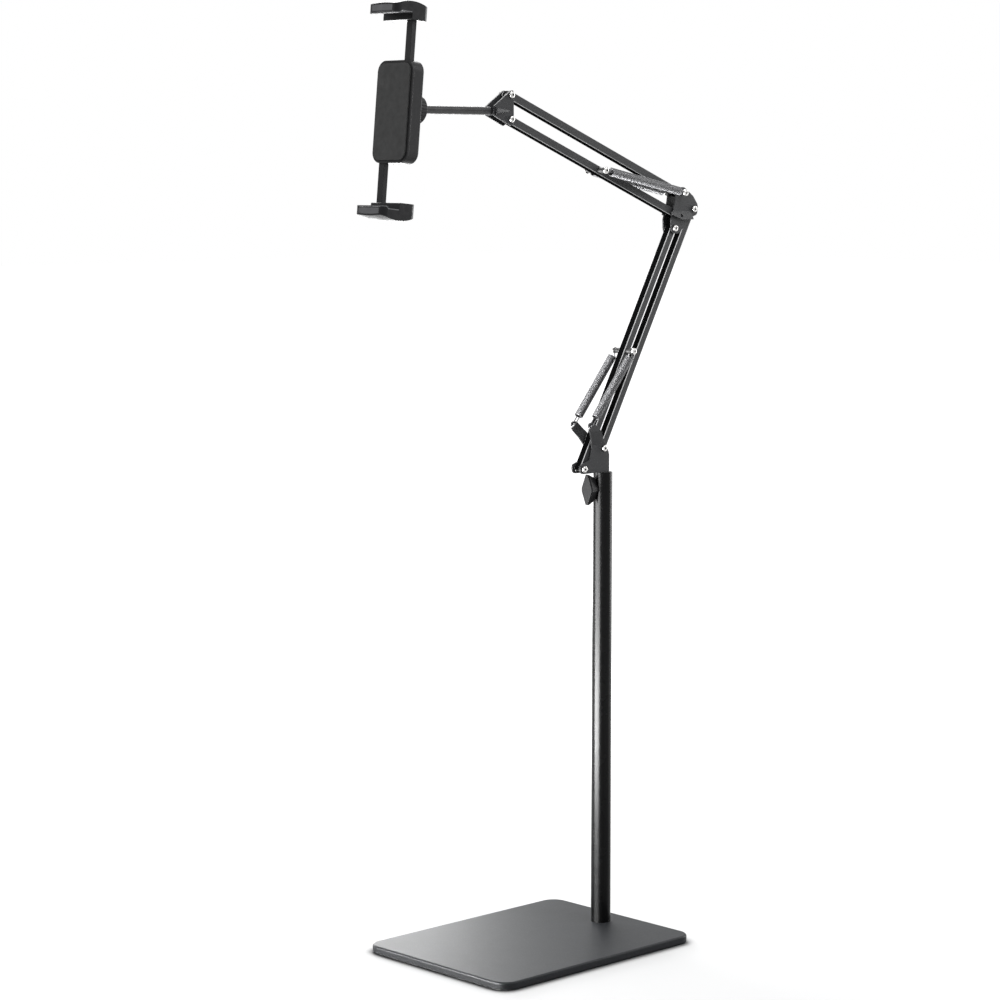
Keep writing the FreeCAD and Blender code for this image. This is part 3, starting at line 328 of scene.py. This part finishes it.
def make_materials():
    made = [
        paint(
            "base_paint", (0.022, 0.0232, 0.0252), light=(0.08, 0.08, 0.085), rough=0.42,
            grain=1100.0, edge=0.0006, wear_and_highlight=0.2, ior=1.14, depth=0.00001, cloud=1.05, patch=0.008),
        paint(
            "pole_paint", (0.0025, 0.0025, 0.0027), light=(0.05, 0.05, 0.05), rough=0.27,
            grain=1300.0, edge=0.0003, wear_and_highlight=0.1, ior=1.17, depth=0.000008, cloud=1.1, patch=0.02),
        bar_paint("arm_paint", (0.023, 0.0233, 0.0245), highlight_colour=(0.85, 0.85, 0.85), rough=0.5),
        paint(
            "bracket_paint", (0.024, 0.0245, 0.026), light=(0.22, 0.22, 0.225), rough=0.46,
            grain=1300.0, edge=0.0003, wear_and_highlight=0.6, ior=1.22),
        paint(
            "neck_paint", (0.012, 0.012, 0.013), light=(0.08, 0.08, 0.08), rough=0.34,
            grain=1400.0, edge=0.0004, wear_and_highlight=0.4, ior=1.36, depth=0.000015),
        plastic("knob_plastic", (0.006, 0.006, 0.0064), rough=0.4, ior=1.15),
        plastic("holder_plastic", (0.009, 0.009, 0.0097), rough=0.45, ior=1.25),
        plastic("jaw_plastic", (0.007, 0.007, 0.0078), rough=0.36, ior=1.25),
        rubber("pad_rubber", (0.03, 0.03, 0.03), rough=0.75),
        rubber("jaw_pad_rubber", (0.095, 0.095, 0.1), rough=0.6),
        rubber("base_rubber", (0.012, 0.012, 0.012), rough=0.85),
        plastic(
            "white_nylon", (0.62, 0.62, 0.60), rough=0.45, grain=1200.0, depth=0.00001, edge=0.0002),
        plastic("black_nylon", (0.012, 0.012, 0.012), rough=0.5),
        metal("nickel_bolts", (0.46, 0.455, 0.445), rough=0.28, shaded_recess_depth=0.0016),
        metal("zinc_steel", (0.5, 0.5, 0.51), rough=0.3),
        metal("spring_steel", (0.08, 0.08, 0.083), rough=0.42, metallic=0.6),
        metal("ball_steel", (0.66, 0.66, 0.68), rough=0.12),
    ]
    return {n.name: n.material for n in made}


def dress_nodes(materials):
    slots = {p["node"]: p["material_slot"] for p in frame["record"]["subparts"]}
    for name, obj in nodes.items():
        obj.data.materials.clear()
        obj.data.materials.append(materials[slots[name]])


# Meshes
def new_object(name, bm, material, body, smooth=True):
    mesh = bpy.data.meshes.new(name)
    bm.normal_update()
    bm.to_mesh(mesh)
    bm.free()
    if smooth:
        mesh.polygons.foreach_set("use_smooth", [True] * len(mesh.polygons))
    obj = bpy.data.objects.new(name, mesh)
    bpy.context.scene.collection.objects.link(obj)
    mesh.materials.append(material)
    if body:
        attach(obj, body)
    return obj


def wire(bm, points):
    """Round wire through the points, closed at both ends, with its rings turned as little as possible."""
    nearly_parallel = 1e-4
    up = Vector((0.3, 0.5, 0.81)).normalized()
    rings = []
    last = len(points) - 1
    for i, point in enumerate(points):
        way = (points[min(i + 1, last)] - points[max(i - 1, 0)]).normalized()
        side = way.cross(up)
        if side.length < nearly_parallel:
            side = way.orthogonal()
        side.normalize()
        up = side.cross(way).normalized()
        ring = []
        for k in range(wire_sides):
            angle = 2 * math.pi * k / wire_sides
            ring.append(bm.verts.new(point + (side * math.cos(angle) + up * math.sin(angle)) * wire_radius))
        rings.append(ring)
    for first, second in zip(rings, rings[1:]):
        for k in range(wire_sides):
            after = (k + 1) % wire_sides
            bm.faces.new((first[k], second[k], second[after], first[after]))
    bm.faces.new(rings[0])
    bm.faces.new(list(reversed(rings[-1])))


def arc_points(centre, first, second, sweep, radius, count):
    """Points about centre, over sweep degrees, where first is 0 degrees and second is 90."""
    found = []
    for i in range(count + 1):
        angle = math.radians(sweep * i / count)
        found.append(centre + (first * math.cos(angle) + second * math.sin(angle)) * radius)
    return found


def smooth_path(points, count):
    """A Catmull-Rom path through the points."""
    found = []
    last = len(points) - 1
    for i in range(last):
        a = points[max(i - 1, 0)]
        b = points[i]
        c = points[i + 1]
        d = points[min(i + 2, last)]
        for k in range(count):
            t = k / count
            squared = (2 * a - 5 * b + 4 * c - d) * t * t
            cubed = (3 * b - a - 3 * c + d) * t ** 3
            found.append(0.5 * (2 * b + (c - a) * t + squared + cubed))
    found.append(points[-1])
    return found


def across(way):
    """The direction in the arm's plane that is square to way."""
    return Vector((0, -way.z, way.y))


def coil_path(eye, way, start, end):
    """A close-wound coil about the line from eye along way."""
    side = across(way)
    steps = round((end - start) * turns_per_metre) * steps_per_turn
    found = []
    for i in range(steps + 1):
        angle = 2 * math.pi * i / steps_per_turn
        along = start + (end - start) * i / steps
        found.append(eye + way * along + (side * math.sin(angle) + X * math.cos(angle)) * coil_radius)
    return found


def bolt_loop(bolt, way, side, coil_end):
    """From the coil's last point up to the bolt and about four fifths of the way round it."""
    entry = bolt - way * loop_radius * loop_entry_back + side * loop_radius
    middle = coil_end * lead_coil_share + entry * (1 - lead_coil_share) - X * lead_sway
    lead = smooth_path([coil_end, middle, entry], lead_steps)[:-1]
    return lead[1:] + arc_points(bolt, side, way, loop_sweep, loop_radius, loop_steps)


def spring_lines(start, end):
    """Both springs' axes: the first end, the second end and the way between them."""
    for x in (spring_offset, -spring_offset):
        first = Vector((x, start.y, start.z))
        second = Vector((x, end.y, end.z))
        yield first, second, (second - first).normalized()


def make_lower_springs(material):
    hook = Vector(joints["spring_hook_swing"]["pos_m"])
    pin = Vector(joints["lower_spring_swing"]["pos_m"])
    bm = bmesh.new()
    for eye, bolt, way in spring_lines(hook, pin):
        end = (bolt - eye).length - coil_end_gap
        coil = coil_path(eye, way, lower_coil_start, end)
        wire(bm, coil + bolt_loop(bolt, way, across(way), coil[-1]))
    obj = new_object("lower_spring_coils", bm, material, "lower_spring_pair")
    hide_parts("lower_springs")


def make_upper_springs(material):
    elbow_pin = Vector(joints["upper_spring_swing"]["pos_m"])
    low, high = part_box("upper_spring_pin")
    bar_pin = (low + high) / 2
    bm = bmesh.new()
    for eye, bolt, way in spring_lines(elbow_pin, bar_pin):
        end = (bolt - eye).length - coil_end_gap
        coil = coil_path(eye, way, coil_end_gap, end)
        near = bolt_loop(eye, -way, across(way), coil[0])
        far = bolt_loop(bolt, way, across(way), coil[-1])
        wire(bm, list(reversed(near)) + coil + far)
    obj = new_object("upper_spring_coils", bm, material, None)
    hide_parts("upper_springs", "upper_spring_loops")
    way = (bar_pin - elbow_pin).normalized()
    reach = (bar_pin - elbow_pin).length
    end = elbow_pin + way * (reach - coil_end_gap)
    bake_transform(obj)


# Stage
def add_node(tree, kind, **inputs):
    """A node with its inputs set, where a name's underscores stand for spaces."""
    node = tree.nodes.new(kind)
    for name, value in inputs.items():
        node.inputs[name.replace("_", " ")].default_value = value
    return node


def seen_rays(tree):
    """1 for rays that show the background: straight from the camera, mirrored or through glass."""
    rays = tree.nodes.new("ShaderNodeLightPath")
    found = rays.outputs["Is Camera Ray"]
    for name in ("Is Glossy Ray", "Is Transmission Ray"):
        most = tree.nodes.new("ShaderNodeMath")
        most.operation = "MAXIMUM"
        tree.links.new(found, most.inputs[0])
        tree.links.new(rays.outputs[name], most.inputs[1])
        found = most.outputs[0]
    return found


def by_ray(tree, unseen, seen):
    """One shader for the rays that light the object, and another for those that show the background."""
    mix = tree.nodes.new("ShaderNodeMixShader")
    tree.links.new(seen_rays(tree), mix.inputs[0])
    tree.links.new(unseen.outputs[0], mix.inputs[1])
    tree.links.new(seen.outputs[0], mix.inputs[2])
    return mix.outputs[0]


def make_world():
    world = bpy.data.worlds.new("studio")
    world.use_nodes = True
    bpy.context.scene.world = world
    tree = world.node_tree
    tree.nodes.clear()
    out = tree.nodes.new("ShaderNodeOutputWorld")
    seen = add_node(tree, "ShaderNodeBackground", Color=(1, 1, 1, 1), Strength=1.0)
    lit = add_node(tree, "ShaderNodeBackground", Color=(0.98, 0.99, 1, 1), Strength=world_light)
    tree.links.new(by_ray(tree, lit, seen), out.inputs["Surface"])


def floor_material():
    """A pale floor that keeps the shadow near the object and turns to plain white away from it."""
    material = bpy.data.materials.new("floor")
    material.use_nodes = True
    tree = material.node_tree
    tree.nodes.clear()
    out = tree.nodes.new("ShaderNodeOutputMaterial")

    # Painted contact shadow: close under the base's edge the floor's colour is darker
    open_sky = add_node(tree, "ShaderNodeAmbientOcclusion", Distance=0.02)
    shade = add_node(tree, "ShaderNodeMapRange", From_Min=0.5, From_Max=0.95, To_Min=0.2, To_Max=0.62)
    diffuse = tree.nodes.new("ShaderNodeBsdfDiffuse")
    tree.links.new(open_sky.outputs["AO"], shade.inputs["Value"])
    tree.links.new(shade.outputs["Result"], diffuse.inputs["Color"])

    # The white starts at 0.35 m from the middle of the base and is full at 1.6 m
    where = tree.nodes.new("ShaderNodeTexCoord")
    reach = tree.nodes.new("ShaderNodeVectorMath")
    reach.operation = "DISTANCE"
    reach.inputs[1].default_value = floor_middle
    rise = add_node(tree, "ShaderNodeMapRange", From_Min=0.35, From_Max=1.6, To_Min=0.0, To_Max=1.0)
    rise.interpolation_type = "SMOOTHSTEP"
    glow = add_node(tree, "ShaderNodeEmission", Color=(1, 1, 1, 1))
    tree.links.new(where.outputs["Object"], reach.inputs[0])
    tree.links.new(reach.outputs["Value"], rise.inputs["Value"])
    tree.links.new(rise.outputs["Result"], glow.inputs["Strength"])

    pale = tree.nodes.new("ShaderNodeAddShader")
    tree.links.new(diffuse.outputs[0], pale.inputs[0])
    tree.links.new(glow.outputs[0], pale.inputs[1])
    dull = add_node(tree, "ShaderNodeBsdfDiffuse", Color=(0.25, 0.25, 0.25, 1))
    tree.links.new(by_ray(tree, dull, pale), out.inputs["Surface"])
    return material


def make_floor():
    bm = bmesh.new()
    bmesh.ops.create_grid(bm, x_segments=1, y_segments=1, size=floor_size)
    floor = new_object("floor", bm, floor_material(), None, smooth=False)
    floor.location.z = -floor_drop


def lamp(name, place, target, width, height, power, glossy_only=False):
    data = bpy.data.lights.new(name, "AREA")
    data.shape = "RECTANGLE"
    data.size = width
    data.size_y = height
    data.energy = power
    obj = bpy.data.objects.new(name, data)
    bpy.context.scene.collection.objects.link(obj)
    obj.location = place
    obj.visible_camera = False
    obj.visible_diffuse = not glossy_only
    obj.rotation_euler = (Vector(target) - Vector(place)).to_track_quat("-Z", "Y").to_euler()
    return obj


def leave_out_holder(light):
    """The holder can turn its face straight at this low lamp, so the lamp doesn't reach it."""
    group = bpy.data.collections.new(light.name + "_leaves_out")
    for body in holder_bodies:
        for name in frame["record"]["behaviour"]["bodies"][body]:
            group.objects.link(nodes[name])
    for member in group.collection_objects:
        member.light_linking.link_state = "EXCLUDE"
    light.light_linking.receiver_collection = group


def make_lamps():
    # Four lamps light the whole object, the low one mostly the base plate
    lamp("key", (-1.5, 0.8, 2.4), target=(0, -0.05, 0.5), width=1.4, height=1.4, power=60)
    lamp("fill", (-0.9, -2.3, 2.3), target=(0, -0.05, 0.6), width=1.2, height=1.2, power=24)
    lamp("side", (1.9, 0.45, 2.6), target=(0, -0.1, 0.6), width=1.6, height=1.6, power=60)
    lamp("low", (-1.41, 0.29, 0.38), target=(0, -0.12, 0.05), width=1.3, height=0.5, power=25)

    # Three lamps show only as gloss: the pole's light streak, the streak's foot, and far edges
    glint = lamp(
        "glint", (-0.20, -1.04, 0.36), target=(0, 0, 0.36), width=1.1, height=0.72, power=100,
        glossy_only=True)
    skim = lamp(
        "skim", (-0.16, -0.85, 0.08), target=(0, 0, 0.09), width=0.9, height=0.14, power=70,
        glossy_only=True)
    lamp(
        "rim", (0.5, 2.2, 1.0), target=(0, 0, 0.6), width=0.8, height=2.2, power=60,
        glossy_only=True)
    leave_out_holder(glint)
    leave_out_holder(skim)


materials = make_materials()
dress_nodes(materials)
make_lower_springs(materials["spring_steel"])
make_upper_springs(materials["spring_steel"])
make_camera()
bpy.context.scene.view_settings.view_transform = "Standard"
make_world()
make_floor()
make_lamps()
